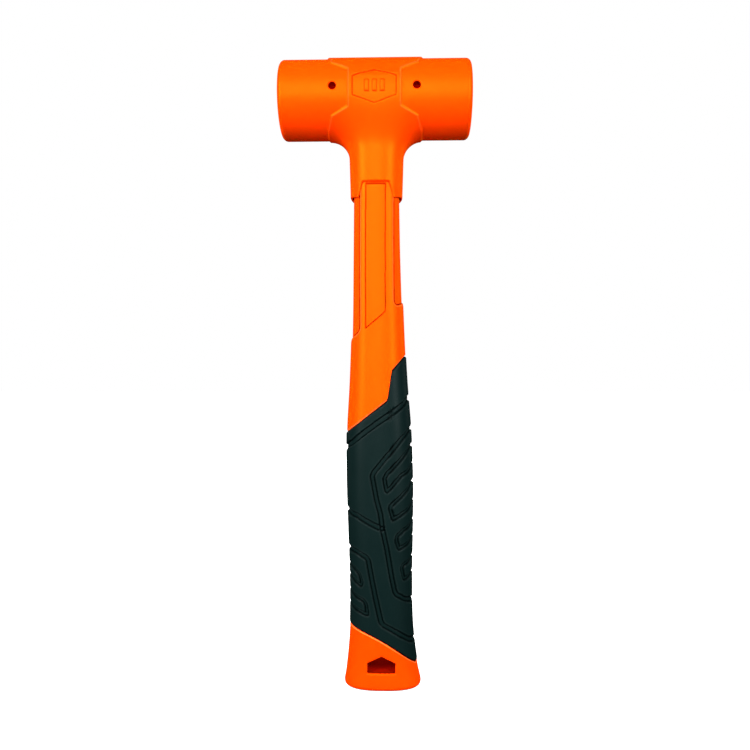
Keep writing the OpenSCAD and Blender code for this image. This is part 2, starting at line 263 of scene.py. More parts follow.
def outline_at(z, column):
    """Smooth curve through one column of the outline."""
    stations, values = OUTLINE[:, 0], OUTLINE[:, column]
    slopes = np.empty(len(stations))
    slopes[1:-1] = (values[2:] - values[:-2]) / (stations[2:] - stations[:-2])
    slopes[0] = (values[1] - values[0]) / (stations[1] - stations[0])
    slopes[-1] = (values[-1] - values[-2]) / (stations[-1] - stations[-2])
    k = np.clip(np.searchsorted(stations, z, side="right") - 1, 0, len(stations) - 2)
    span = stations[k + 1] - stations[k]
    t = np.clip((z - stations[k]) / span, 0, 1)
    u = 1 - t
    return (values[k] * u * u * (1 + 2 * t) + values[k + 1] * t * t * (1 + 2 * u)
            + span * t * u * (slopes[k] * u - slopes[k + 1] * t))


def grip_top_edge(x):
    return 132 + 0.77 * x + 12.5 * ease(5.2, 8.0, x) + 0.35 * np.maximum(x - 8, 0)


def grip_foot_edge(x):
    return 25.3 - 0.5 * x - 0.011 * x * x


class Ring:
    """Directions round the handle's section, from the front centre by way of +X.

    Steps are even, or shorter near the front and back centre lines by the given ratio.
    """

    def __init__(self, count, close_share=0.5, ratio=1.0):
        power = 2 / HANDLE_POWER
        fine = np.linspace(0, math.pi / 2, 3001)
        x = 15.5 * np.sin(fine) ** power
        y = 12.7 * np.cos(fine) ** power
        arc = np.concatenate([[0], np.cumsum(np.hypot(np.diff(x), np.diff(y)))])
        quarter = count // 4
        shares = [0, close_share, close_share + 0.15, 1]
        pace = np.interp(np.linspace(0, 1, quarter), shares, [1, 1, ratio, ratio])
        run = np.concatenate([[0], np.cumsum(pace)])
        turn = np.interp(run / run[-1] * arc[-1], arc, fine)
        back = math.pi - turn[::-1]
        half = np.concatenate([turn, back[1:]])
        angle = np.concatenate([half, (2 * math.pi - half[::-1])[1:-1]]) - math.pi / 2
        self.count = count
        self.cos = signed_power(np.cos(angle), power)
        self.sin = signed_power(np.sin(angle), power)
        self.round_cos = np.cos(angle)
        self.round_sin = np.sin(angle)

    def side_on(self):
        """How nearly each direction faces the side, from 0 to 1."""
        return ease(0.8, 1.0, np.abs(self.cos))

    def place(self, z, inset):
        """Points on the handle's surface at heights z, an array of rows by ring, pulled in by inset."""
        left, right, depth = (outline_at(z, c) for c in (1, 2, 3))
        x = (right - left) / 2 + ((right + left) / 2 - inset) * self.cos
        return np.stack([x, (depth - inset) * self.sin, z], -1)

    def arc_from_middle(self, z):
        """Arc length from the front or back centre line, signed by side, at each point of the grid."""
        heights = np.arange(-2.0, SLEEVE_TOP + 4, 2.0)
        grid = self.place(np.repeat(heights[:, None], self.count, 1), 0)
        steps = np.linalg.norm(np.roll(grid, -1, 1) - grid, axis=-1)
        run = np.concatenate([np.zeros((len(heights), 1)), np.cumsum(steps, 1)], 1)
        q = self.count // 4
        arc = np.empty((len(heights), self.count))
        arc[:, : q + 1] = run[:, : q + 1]
        arc[:, q : 2 * q + 1] = run[:, 2 * q : 2 * q + 1] - run[:, q : 2 * q + 1]
        arc[:, 2 * q : 3 * q + 1] = run[:, 2 * q : 2 * q + 1] - run[:, 2 * q : 3 * q + 1]
        arc[:, 3 * q :] = run[:, 3 * q : 4 * q] - run[:, 4 * q : 4 * q + 1]
        out = np.empty(z.shape)
        for i in range(self.count):
            out[:, i] = np.interp(z[:, i], heights, arc[:, i])
        return out

    def unroll(self, points):
        """Lines drawn in X and Z, turned into arc length and Z. Past the side they run on at the side."""
        q = self.count // 4
        flat = []
        for x, z in points:
            row = self.place(np.full((1, self.count), float(z)), 0)[0]
            arc = self.arc_from_middle(np.full((1, self.count), float(z)))[0]
            side = list(range(3 * q, self.count)) + list(range(0, q + 1))
            past = max(x - row[q, 0], 0) + min(x - row[3 * q, 0], 0)
            flat.append((float(np.interp(x, row[side, 0], arc[side])) + past, z))
        return flat


def cut_corners(points, size=0.7):
    """The same line with each inner corner replaced by a short chamfer and a middle point."""
    out = [points[0]]
    for a, b, c in zip(points, points[1:], points[2:]):
        a, b, c = (np.array(p, float) for p in (a, b, c))
        before, after = np.linalg.norm(b - a), np.linalg.norm(c - b)
        near = b + (a - b) * min(size / before, 0.4)
        far = b + (c - b) * min(size / after, 0.4)
        out += [tuple(near), tuple((near + far) / 4 + b / 2), tuple(far)]
    return out + [points[-1]]


def outward(grid):
    """Unit normals of a grid of points that closes round its second axis."""
    along = np.gradient(grid, axis=0)
    across = np.roll(grid, -1, 1) - np.roll(grid, 1, 1)
    normal = np.cross(along, across)
    normal /= np.linalg.norm(normal, axis=-1, keepdims=True) + 1e-12
    away = grid[..., :2] - grid[..., :2].mean(1, keepdims=True)
    flip = np.sign((normal[..., :2] * away).sum(-1, keepdims=True))
    return normal * np.where(flip == 0, 1, flip)


def band_heights(upper, lower, shares, ring):
    """Heights of rows that run a share of the way from one edge line to the next."""
    rows = []
    for edge in (upper, lower):
        z = np.full((1, ring.count), float(edge(0.0)))
        for _ in range(4):
            middle = ring.place(z, 0)
            z = edge(middle[..., 0])
        rows.append(z)
    shares = np.asarray(shares)[:, None]
    return rows[0] * (1 - shares) + rows[1] * shares


def grid_faces(rows, count):
    row, col = np.meshgrid(np.arange(rows - 1), np.arange(count), indexing="ij")
    a = row * count + col
    b = row * count + (col + 1) % count
    return np.stack([a, b, b + count, a + count], -1).reshape(-1, 4)


def close_ends(points, faces, rows, count):
    """Adds a middle point to each end of a stack of rings and the fans that close it."""
    first, last = points[:count].mean(0), points[-count:].mean(0)
    n = len(points)
    ring = np.arange(count)
    after = (ring + 1) % count
    foot = (rows - 1) * count
    top_fan = np.stack([after, ring, np.full(count, n), np.full(count, -1)], -1)
    foot_fan = np.stack([foot + ring, foot + after, np.full(count, n + 1), np.full(count, -1)], -1)
    return np.concatenate([points, [first, last]]), np.concatenate([faces, top_fan, foot_fan])


# ---- Meshes ----


def signed_volume(points, faces):
    tris = np.concatenate([faces[:, :3], faces[faces[:, 3] >= 0][:, [0, 2, 3]]])
    a, b, c = points[tris[:, 0]], points[tris[:, 1]], points[tris[:, 2]]
    return np.einsum("ij,ij->i", a, np.cross(b, c)).sum() / 6


def add_piece(name, points, faces, painted_light, body, material, slot, node, flat=0):
    """An object from points in millimetres and faces of four corners, or three and a -1.

    It is shaded smooth apart from its last few faces, as many as flat. The painted light value of each
    point is kept for the material: 0.5 for painted shade in a line, 1 for painted shade in a hole and
    down to -1 for a painted highlight along an edge.
    """
    if signed_volume(points, faces) < 0:
        faces = np.where(faces[:, 3:] >= 0, faces[:, ::-1], faces[:, [2, 1, 0, 3]])
    mesh = bpy.data.meshes.new(name)
    sizes = np.where(faces[:, 3] >= 0, 4, 3)
    corners = faces.ravel()
    corners = corners[corners >= 0]
    mesh.vertices.add(len(points))
    mesh.vertices.foreach_set("co", (points * MM).astype(np.float32).ravel())
    mesh.loops.add(len(corners))
    mesh.loops.foreach_set("vertex_index", corners.astype(np.int32))
    mesh.polygons.add(len(faces))
    mesh.polygons.foreach_set("loop_start", np.concatenate([[0], np.cumsum(sizes)[:-1]]).astype(np.int32))
    mesh.polygons.foreach_set("use_smooth", np.arange(len(faces)) < len(faces) - flat)
    mesh.attributes.new("painted_light", "FLOAT", "POINT").data.foreach_set("value", painted_light.astype(np.float32))
    mesh.update(calc_edges=True)
    piece = bpy.data.objects.new(name, mesh)
    bpy.context.scene.collection.objects.link(piece)
    mesh.materials.append(material)
    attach(piece, body)
    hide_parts(node)
    return piece


def open_hang_hole(points, faces, painted_light, ring, body_rows):
    """Cuts the hang hole through the butt, with rolled edges and walls from front to back."""
    count = ring.count
    depth = inside_distance(points[:, 0], points[:, 2], HANG_HOLE)
    rim = np.clip(HANG_ROUND + depth, 0, HANG_ROUND)
    roll = HANG_ROUND - np.sqrt(HANG_ROUND**2 - rim**2)
    near = np.zeros(len(points), bool)
    near[body_rows * count : len(points) - 2] = True
    near &= (points[:, 2] > HOLE_BAND[0]) & (points[:, 2] < HOLE_BAND[1])
    near &= np.abs(points[:, 1]) > HOLE_FACE
    points[near, 1] -= np.sign(points[near, 1]) * roll[near]
    quads = faces[:, 3] >= 0
    held = np.where(faces >= 0, faces, faces[:, :1])
    gone = quads & near[held].all(1) & (depth[held].mean(1) > 0)
    kept, cut = faces[~gone], faces[gone]
    edges = np.concatenate([cut[:, [k, (k + 1) % 4]] for k in range(4)])
    key = np.sort(edges, 1)
    _, index, uses = np.unique(key, axis=0, return_index=True, return_counts=True)
    border = edges[index[uses == 1]]
    for v in np.unique(border):
        points[v, [0, 2]] = nearest_on_outline(points[v, 0], points[v, 2], HANG_HOLE)
    front = border[(points[border[:, 0], 1] < 0)]
    mirror = {}
    for v in np.unique(front):
        row, col = divmod(int(v), count)
        mirror[int(v)] = row * count + (count // 2 - col) % count
    steps = 14
    walls, extra, extra_painted_light = [], [], []
    chain = {}
    for v, w in mirror.items():
        a, b = points[v], points[w]
        line = [v]
        for s in range(1, steps):
            line.append(len(points) + len(extra))
            extra.append(a + (b - a) * s / steps)
            # The walls get painted shade, a little weaker towards the rims
            extra_painted_light.append(HOLE_SHADE * math.sin(math.pi * s / steps) ** 0.2)
        chain[v] = line + [w]
    for a, b in front:
        one, two = chain[int(a)], chain[int(b)]
        walls += [(one[s], two[s], two[s + 1], one[s + 1]) for s in range(steps)]
    points, faces = np.concatenate([points, extra]), np.concatenate([kept, np.array(walls)])
    return points, faces, np.concatenate([painted_light, extra_painted_light]), len(walls)


def nearest_on_outline(x, z, corners):
    best, place = 1e9, None
    for (ax, az), (bx, bz) in zip(corners, list(corners[1:]) + [corners[0]]):
        dx, dz = bx - ax, bz - az
        t = min(max(((x - ax) * dx + (z - az) * dz) / (dx * dx + dz * dz), 0), 1)
        px, pz = ax + t * dx, az + t * dz
        d = math.hypot(x - px, z - pz)
        if d < best:
            best, place = d, (px, pz)
    return place


def snap(arc, z, distance, profile):
    """Moves the points nearest an outline onto it, and their neighbours onto its shoulders."""
    h = 0.01
    s = distance(arc, z)
    pace = np.abs(np.roll(s, -1, 1) - np.roll(s, 1, 1)) / 2
    pace = np.maximum(pace, np.abs(np.gradient(s, axis=0))) + 1e-6
    steps = s / pace
    shoulders = [mark for mark, _ in profile]
    outer = max(mark for mark in shoulders if mark < 0)
    inner = min(mark for mark in shoulders if mark > 0)
    target = s.copy()
    for low, high, mark in ((-1.5, -0.5, outer), (-0.5, 0.5, 0), (0.5, 1.5, inner)):
        target[(steps > low) & (steps <= high)] = mark
    slope_a = (distance(arc + h, z) - s) / h
    slope_z = (distance(arc, z + h) - s) / h
    size = slope_a**2 + slope_z**2
    move = np.where((size > 0.5) & (np.abs(target - s) < 0.4), (target - s) / np.maximum(size, 0.5), 0)
    return arc + move * slope_a, z + move * slope_z


def carve(ring, z, features, inset):
    """Grid of points on the handle's surface with each feature's profile cut along its outline.

    Also gives the unit normals, the depth of the cut, and the painted light value: above 0 for painted
    shade in a line and below 0 for a painted highlight on the edge beside it. A feature is its distance
    function, its profile, how far in its painted dark line goes, the gain of its depth, the spread of
    its width, and the strength of the painted highlight on its edge.
    """
    start = ring.arc_from_middle(z)
    arc, height = start, z
    for distance, profile, *_ in features:
        arc, height = snap(arc, height, distance, profile)
    deep, shade, edge_highlight = np.zeros(z.shape), np.zeros(z.shape), np.zeros(z.shape)
    for distance, profile, line_end, gain, spread, highlight_strength in features:
        s = distance(arc, height)
        cut = np.interp(s / spread, [m for m, _ in profile], [d for _, d in profile])
        deep = np.maximum(deep, cut * gain)
        # Painted shade: a dark line along each outline, reaching in as far as the feature says
        dark = [*LINE_START, line_end - LINE_FADE, line_end]
        shade = np.maximum(shade, np.interp(s, dark, [0, 0.5, 0.5, 0]))
        # Painted highlight: a lighter band just outside each outline
        edge_highlight = np.maximum(edge_highlight, np.interp(s, EDGE_HIGHLIGHT_BAND, [0, highlight_strength, highlight_strength, 0]))
    plain = ring.place(z, inset)
    along = np.roll(plain, -1, 1) - np.roll(plain, 1, 1)
    along /= np.linalg.norm(along, axis=-1, keepdims=True)
    sense = np.where(ring.sin <= 0, 1, -1)[None, :, None]
    grid = ring.place(height, inset) + along * sense * (arc - start)[..., None]
    return grid, outward(plain), deep, np.where(shade > 0.05, shade, -edge_highlight)


def line_distance(path, half):
    return lambda arc, z: half - path_distance(arc, z, path)


def area_distance(corners):
    return lambda arc, z: inside_distance(arc, z, corners)


def shaft_features(ring):
    """Side panels with a V groove along their inner edge, and the fine line round the middle strip."""
    features = []
    side_on = ring.side_on()
    for rail in RAILS:
        line = ring.unroll(cut_corners(rail, 1.2))
        side = math.copysign(40, rail[0][0])
        panel = line + [(side, line[-1][1]), (side, line[0][1])]
        # Each rail gets a painted dark line along its groove and a painted highlight beside it
        features.append((area_distance(panel), RAIL_PROFILE, 0.6, 1 + side_on, 1 + 0.5 * side_on, 0.3))
    strip = ring.unroll(STRIP)
    # The strip gets a painted dark line round it
    features.append((area_distance(strip), STRIP_PROFILE, 0.38, 1.0, 1.0, 0.0))
    return features


def handle_mesh():
    """The moulded handle: bores for the steelwork, tenon, shaft, seat of the grip and butt."""
    ring = Ring(HANDLE_RING, 0.68, 1.8)
    n = ring.count
    rings = []

    def add_round(radius, z):
        rings.append(np.stack([radius * ring.round_cos, radius * ring.round_sin, np.full(n, z)], -1))

    bore = ROD_R + FIT
    add_round(bore, rod_low[2] - FIT)
    for low, high in ((anchor_low, anchor_high), (spacer_low, spacer_high)):
        add_round(bore, low[2] - FIT)
        add_round(high[0] + FIT, low[2] - FIT)
        add_round(high[0] + FIT, high[2] + FIT)
        add_round(bore, high[2] + FIT)
    add_round(bore, TENON_TOP)
    add_round(TENON_R - 0.5, TENON_TOP)
    add_round(TENON_R, TENON_TOP - 0.5)
    add_round(TENON_R, SLEEVE_TOP)
    hidden = np.stack(rings)

    def level(height):
        return lambda x: np.full(np.shape(x), float(height))

    top = band_heights(level(SLEEVE_TOP), level(SHAFT_TOP - 1), np.linspace(0, 1, TOP_ROWS), ring)
    shares = np.linspace(0, 1, SHAFT_ROWS)[1:]
    shaft = band_heights(level(SHAFT_TOP - 1), grip_top_edge, shares, ring)
    core = band_heights(grip_top_edge, grip_foot_edge, np.linspace(0, 1, SEAT_ROWS), ring)
    butt = band_heights(grip_foot_edge, level(BUTT_ROUND), np.linspace(0, 1, BUTT_ROWS), ring)

    seam = ease(0, 1, 1 - (shaft - shaft[-1:]) / SEAM_ROUND) * SEAM_ROUND * 0.8
    foot_seam = ease(0, 1, 1 - (butt[:1] - butt) / SEAM_ROUND) * SEAM_ROUND * 0.8
    shaft_z = np.concatenate([top, shaft])
    shaft_inset = np.concatenate([np.zeros(top.shape), seam])
    shaft_grid, normal, deep, shade = carve(ring, shaft_z, shaft_features(ring), 0)
    shaft_grid = shaft_grid - normal * (deep + shaft_inset)[..., None]
    # Painted shade at the seam with the grip, and a painted highlight on the lip above it
    shade[len(top) :] += np.interp(shaft - shaft[-1:], SEAM_EDGE, SEAM_PAINTED_LIGHT)
    core_grid = ring.place(core, GRIP_WALL)
    butt_grid = ring.place(butt, 0)
    butt_grid = butt_grid - outward(butt_grid) * foot_seam[..., None]
    turn = np.linspace(0, math.pi / 2, 9)[1:, None] * np.ones((1, n))
    under = ring.place(BUTT_ROUND * (1 - np.sin(turn)), BUTT_ROUND * (1 - np.cos(turn)))
    middle = under[-1].mean(0)
    soles = np.stack([middle + (under[-1] - middle) * k for k in (0.93, 0.8, 0.6, 0.35, 0.12)])
    grid = np.concatenate([hidden, shaft_grid, core_grid, butt_grid, under, soles])
    points = grid.reshape(-1, 3)
    faces = grid_faces(len(grid), n)
    points, faces = close_ends(points, faces, len(grid), n)
    painted_light = np.zeros(len(points))
    painted_light[len(hidden) * n : (len(hidden) + len(shade)) * n] = shade.ravel()
    body_rows = len(hidden) + len(shaft_grid) + len(core_grid) - 2
    butt_first = (body_rows + 2) * n
    # Painted shade at the seam at the grip's foot, and a painted highlight on the lip below it
    foot_painted_light = np.interp(butt[:1] - butt, SEAM_EDGE, SEAM_PAINTED_LIGHT)
    painted_light[butt_first : butt_first + foot_painted_light.size] = foot_painted_light.ravel()
    return open_hang_hole(points, faces, painted_light, ring, body_rows)


def grip_mesh():
    """The soft sleeve: grooved outside, rolled edges and a plain inside."""
    ring = Ring(GRIP_RING)
    edge = 0.15
    gap = GRIP_GAP / GRIP_LENGTH

    def rows_down(count):
        shares = gap + np.linspace(0, 1, count) * (1 - 2 * gap)
        return band_heights(grip_top_edge, grip_foot_edge, shares, ring)

    outer_z, inner_z = rows_down(GRIP_ROWS), rows_down(GRIP_INNER_ROWS)
    from_top, from_foot = outer_z[:1] - outer_z, outer_z - outer_z[-1:]
    roll = np.minimum(from_top, from_foot)
    rounding = np.clip(SEAM_ROUND * 1.3 - roll, 0, None) ** 2 / (2 * SEAM_ROUND)
    gain, spread = 1 + GROOVE_SIDE_GAIN * ring.side_on(), 1 + NOTCH_SPREAD * ring.side_on()
    features = []
    for half, line in GRIP_GROOVES:
        path = ring.unroll(cut_corners(line, 0.6))
        # Each groove gets a painted dark line and a faint painted highlight along its edge
        features.append((line_distance(path, half), GROOVE_PROFILE, 0.36, gain, spread, 0.15))
    base, normal, deep, shade = carve(ring, outer_z, features, -GRIP_RISE)
    outer = base - normal * (deep + rounding)[..., None]
    inner = ring.place(inner_z, GRIP_WALL - edge)
    grid = np.concatenate([outer, inner[::-1]])
    points = grid.reshape(-1, 3)
    faces = grid_faces(len(grid), ring.count)
    last = (len(grid) - 1) * ring.count
    col = np.arange(ring.count)
    after = (col + 1) % ring.count
    closing = np.stack([last + col, last + after, after, col], -1)
    painted_light = np.zeros(len(points))
    painted_light[: shade.size] = shade.ravel()
    return points, np.concatenate([faces, closing]), painted_light


# ---- Head surface ----


def round_union(a, b, radius):
    """Union of two solids with a concave fillet of the given radius between them."""
    u, v = np.maximum(radius - a, 0), np.maximum(radius - b, 0)
    return np.maximum(radius, np.minimum(a, b)) - np.hypot(u, v)


def round_cut(a, b, radius):
    """What is inside a and outside b, with a rounded edge between them."""
    u, v = np.maximum(radius + a, 0), np.maximum(radius - b, 0)
    return np.minimum(-radius, np.maximum(a, -b)) + np.hypot(u, v)


def superellipse(x, y, width, depth, power):
    gauge = (np.abs(x / width) ** power + np.abs(y / depth) ** power + 1e-12) ** (1 / power)
    return (gauge - 1) * np.hypot(x, y) / np.maximum(gauge, 1e-6)


def barrel_distance(x, y, z):
    along = np.abs(x - HEAD_X) - (HEAD_HALF - FACE_ROUND)
    across = np.hypot(y, z - HEAD_Z) - (BARREL_R - FACE_ROUND)
    corner = np.hypot(np.maximum(along, 0), np.maximum(across, 0))
    return corner + np.minimum(np.maximum(along, across), 0) - FACE_ROUND


def neck_distance(x, y, z):
    spread = NECK_DRAFT * (z - SHAFT_TOP)
    wall = superellipse(x - NECK_X, y, NECK_W + spread, NECK_D + spread, NECK_POWER)
    foot = SHAFT_TOP + LIP_LIFT * (1 - np.clip(y / NECK_D, -1, 1) ** 2) - z
    u, v = np.maximum(LIP_ROUND + wall, 0), np.maximum(LIP_ROUND + foot, 0)
    tube = np.minimum(-LIP_ROUND, np.maximum(wall, foot)) + np.hypot(u, v)
    return np.maximum(tube, z - AXIS_Z)


def collar_inside(x, arc):
    """Distance in from the collar's edge, drawn in X and in arc length round the barrel."""
    region = [(w, a) for a, w in COLLAR_EDGE] + [(0, COLLAR_EDGE[-1][0] + 6)]
    region[-2] = (COLLAR_EDGE[-1][1], COLLAR_EDGE[-1][0] + 6)
    region = [(0, -6)] + [(COLLAR_EDGE[0][1], -6)] + region[1:]
    within = inside_distance(np.abs(x), np.abs(arc), region)
    return np.where(np.abs(x) < 5, 5.0, within)


def head_relief(x, y, z):
    """Height of the collar, the hexagonal panel and its bars above the plain barrel."""
    x = x - HEAD_X
    arc = COLLAR_R * np.arctan2(z - HEAD_Z, np.abs(y))
    collar = COLLAR_RISE * ease(-0.1, 0.9, collar_inside(x, arc))
    panel = ease(0.0, 0.5, inside_distance(x, arc, PANEL)) * PANEL_DEPTH
    bars = np.zeros(np.shape(x))
    for middle in MARK_BARS:
        off_x, off_z = np.abs(x - middle) - MARK_BAR_HALF[0], np.abs(arc) - MARK_BAR_HALF[1]
        bars = np.maximum(bars, ease(0.25, -0.25, np.maximum(off_x, off_z)))
    return collar - panel + np.where(y < 0, bars, 0) * (PANEL_DEPTH - 0.1)


def head_shade(x, y, z):
    """Painted light value of each point of the head: painted shade in a line or hole above 0, a painted
    highlight along the collar's edge below 0.
    """
    x = x - HEAD_X
    arc = COLLAR_R * np.arctan2(z - HEAD_Z, np.abs(y))
    # Painted shade: dark lines round the panel and its bars, and in the locator holes
    line = 0.45 * (1 - ease(0, 0.45, np.abs(inside_distance(x, arc, PANEL) - 0.45)))
    for middle in MARK_BARS:
        off = np.maximum(np.abs(x - middle) - MARK_BAR_HALF[0], np.abs(arc) - MARK_BAR_HALF[1])
        line = np.maximum(line, 0.3 * (1 - ease(0, 0.4, np.abs(off - 0.2))) * (y < 0))
    hole = np.hypot(np.abs(x) - LOCATOR_X, z - LOCATOR_Z) < LOCATOR_R + 0.3
    sunk = BARREL_R - np.hypot(y, z - HEAD_Z)
    line = np.maximum(line, hole * ease(0.5, 2.0, sunk))
    # Painted highlight along the collar's edge
    edge_highlight = 0.18 * (1 - ease(0, 0.5, np.abs(collar_inside(x, arc) - 0.9)))
    return np.where(np.abs(y) < 8, 0, np.where(line > 0.05, line, -edge_highlight))


def plain_head(x, y, z):
    return round_union(barrel_distance(x, y, z), neck_distance(x, y, z), NECK_FILLET)


def head_distance(x, y, z):
    """Distance to the surface of the head moulding, negative inside it."""
    neck = neck_distance(x, y, z)
    skin = barrel_distance(x, y, z) - head_relief(x, y, z)
    shape = round_union(skin, neck, NECK_FILLET)
    hole = np.hypot(np.abs(x - HEAD_X) - LOCATOR_X, z - LOCATOR_Z) - LOCATOR_R
    hole = np.maximum(hole, BARREL_R - LOCATOR_DEPTH - np.abs(y))
    shape = round_cut(shape, hole, 0.35)
    low = z < SLEEVE_TOP + 20
    gap = 0.05
    left, right, deep = (outline_at(np.clip(z, SHAFT_TOP, SLEEVE_TOP), c) for c in (1, 2, 3))
    middle = (right - left) / 2
    snug = LIP_BITE * (1 - ease(SHAFT_TOP + LIP_LIFT, SHAFT_TOP + LIP_LIFT + 2, z))
    pocket = superellipse(x - middle, y, (right + left) / 2, deep, HANDLE_POWER) - gap + snug
    pocket = np.maximum(pocket, z - SLEEVE_TOP - gap)
    tenon = np.maximum(np.hypot(x, y) - TENON_R - FIT, z - TENON_TOP - FIT)
    weld = np.maximum(np.hypot(x, y) - ROD_R - 2.5, z - SOCKET_FOOT + 0.4)
    inner = np.minimum(np.minimum(pocket, tenon), weld)
    shape = np.where(low, np.maximum(shape, -inner), shape)
    mouth = inside_distance(x, z, MOUTH)
    bevel = np.clip(0.75 + superellipse(x, y, NECK_W, NECK_D, NECK_POWER), 0, 0.75)
    opened = np.maximum(shape, (mouth + bevel) * 0.75)
    return np.where((np.abs(y) > 5) & (z < SLEEVE_TOP + 3), opened, shape)


def cavity_distance(x, y, z):
    """Distance to the space that holds the canister and the top of the socket, negative inside it."""
    across = np.hypot(y, z - AXIS_Z) - CANISTER_R - FIT
    drum = np.maximum(across, np.abs(x) - CANISTER_HALF - 0.7)
    stem = np.maximum(np.hypot(x, y) - SOCKET_R - FIT, np.maximum(SOCKET_FOOT - FIT - z, z - AXIS_Z))
    bead = np.maximum(np.hypot(x, y) - SOCKET_R - 1.6, across - 1.6)
    bead = np.maximum(bead, z - AXIS_Z)
    return np.minimum(np.minimum(drum, stem), bead)


def surface_net(low, high, step, rough, exact, reach):
    """Quad mesh of the surface where exact() is 0. Far from rough()'s surface, rough() stands in for it."""
    axes = [np.arange(a, b + step, step) for a, b in zip(low, high)]
    x, y, z = np.meshgrid(*axes, indexing="ij")
    field = rough(x, y, z)
    near = np.abs(field) < reach
    near |= (z < SLEEVE_TOP + 18) & (field < reach)
    near |= (np.abs(np.abs(x) - LOCATOR_X) < 3) & (np.abs(z - AXIS_Z) < 3) & (field < reach)
    field[near] = exact(x[near], y[near], z[near])
    inside = field < 0
    shape = tuple(len(a) - 1 for a in axes)
    total = np.zeros(shape, np.int8)
    offsets = [(i, j, k) for i in (0, 1) for j in (0, 1) for k in (0, 1)]
    for i, j, k in offsets:
        total += inside[i : i + shape[0], j : j + shape[1], k : k + shape[2]]
    cells = np.argwhere((total > 0) & (total < 8))
    values = np.stack([field[tuple((cells + o).T)] for o in offsets], 1)
    corner = np.array(offsets, float)
    place, hits = np.zeros((len(cells), 3)), np.zeros(len(cells))
    for a in range(8):
        for b in range(a + 1, 8):
            if np.abs(corner[a] - corner[b]).sum() != 1:
                continue
            va, vb = values[:, a], values[:, b]
            crossed = (va < 0) != (vb < 0)
            t = np.where(crossed, va / np.where(crossed, va - vb, 1), 0)
            place += np.where(crossed[:, None], corner[a] + t[:, None] * (corner[b] - corner[a]), 0)
            hits += crossed
    points = (cells + place / hits[:, None]) * step + np.array(low)
    number = np.full(shape, -1, np.int32)
    number[tuple(cells.T)] = np.arange(len(cells))
    faces = []
    for axis in range(3):
        u, v = (axis + 1) % 3, (axis + 2) % 3
        size = [len(a) for a in axes]
        size[axis] -= 1
        first = inside[tuple(slice(0, s) for s in size)]
        shifted = [slice(None)] * 3
        shifted[axis] = slice(1, None)
        change = first != inside[tuple(shifted)]
        at = np.argwhere(change)
        at = at[(at[:, u] > 0) & (at[:, v] > 0) & (at[:, u] < shape[u]) & (at[:, v] < shape[v])]
        starts = first[tuple(at.T)]
        corners = []
        for du, dv in ((0, 0), (1, 0), (1, 1), (0, 1)):
            cell = at.copy()
            cell[:, u] -= du
            cell[:, v] -= dv
            corners.append(number[tuple(cell.T)])
        quad = np.stack(corners, 1)
        faces.append(np.where(starts[:, None], quad, quad[:, ::-1]))
    return points, np.concatenate(faces)


def settle(points, faces, exact, rounds):
    """Evens out a mesh along its surface and puts each point back onto the surface."""
    edges = np.concatenate([faces[:, [k, (k + 1) % 4]] for k in range(4)])
    a, b = edges[:, 0], edges[:, 1]
    n = len(points)
    degree = np.bincount(a, minlength=n) + np.bincount(b, minlength=n)
    h = 0.02
    for k in range(rounds + 1):
        if k < rounds:
            pull = np.stack([
                np.bincount(a, points[b, c], n) + np.bincount(b, points[a, c], n) for c in range(3)
            ], 1) / degree[:, None]
            points = points + 0.6 * (pull - points)
        for _ in range(2):
            value = exact(*points.T)
            slope = np.stack([
                exact(*(points + h * step).T) - value for step in np.eye(3)
            ], 1) / h
            size = np.maximum((slope**2).sum(1), 0.2)
            move = -(value / size)[:, None] * slope
            length = np.linalg.norm(move, axis=1, keepdims=True)
            points = points + move * np.minimum(1, 0.3 / np.maximum(length, 1e-9))
    return points


def head_mesh():
    """The head moulding's outside with its sockets, and the canister's cavity as an inner shell."""
    margin = 0.9
    low = (-HEAD_HALF - margin, -COLLAR_R - margin, SHAFT_TOP - margin)
    high = (HEAD_HALF + margin, COLLAR_R + margin, AXIS_Z + COLLAR_R + margin)
    points, faces = surface_net(low, high, SKIN_STEP, plain_head, head_distance, SKIN_REACH)
    points = settle(points, faces, head_distance, 3)
    margin = 1.6
    low = (-CANISTER_HALF - margin, -CANISTER_R - margin, SOCKET_FOOT - margin)
    high = (CANISTER_HALF + margin, CANISTER_R + margin, AXIS_Z + CANISTER_R + margin)
    inner, inner_faces = surface_net(
        low, high, CAVITY_STEP, cavity_distance, cavity_distance, CAVITY_REACH,
    )
    inner = settle(inner, inner_faces, cavity_distance, 1)
    inner_faces = inner_faces[:, ::-1] + len(points)
    painted_light = np.concatenate([head_shade(*points.T), np.zeros(len(inner))])
    return np.concatenate([points, inner]), np.concatenate([faces, inner_faces]), painted_light


# ---- Materials ----

# Cover: two plain tones, then painted shade where little light reaches, in a line and in a hole,
# a painted highlight along an edge, painted shade on the rim that turns away from the eye, and in the
# reflection
ORANGE_DARK = (0.88, 0.038, 0.0001)
ORANGE_LIGHT = (0.92, 0.042, 0.0002)
ORANGE_NOOK_SHADE = (0.30, 0.010, 0.0)
ORANGE_LINE_SHADE = (0.09, 0.004, 0.0)
ORANGE_HOLE_SHADE = (0.34, 0.003, 0.0)
ORANGE_EDGE_HIGHLIGHT = (1.0, 0.16, 0.035)
ORANGE_RIM_SHADE = (0.34, 0.035, 0.004)
ORANGE_SHEEN = (0.036, 0.0215, 0.0006)

# Grip: two plain tones, then painted shade in a line or a nook and in a hole,
# a painted highlight along an edge, and in the reflection
RUBBER_DARK = (0.0016, 0.0066, 0.0064)
RUBBER_LIGHT = (0.0024, 0.0080, 0.0077)
RUBBER_NOOK_AND_LINE_SHADE = (0.0002, 0.0004, 0.0004)
RUBBER_HOLE_SHADE = (0, 0, 0)
RUBBER_EDGE_HIGHLIGHT = (0.020, 0.028, 0.026)
RUBBER_SHEEN = (0.0040, 0.0046, 0.0046)

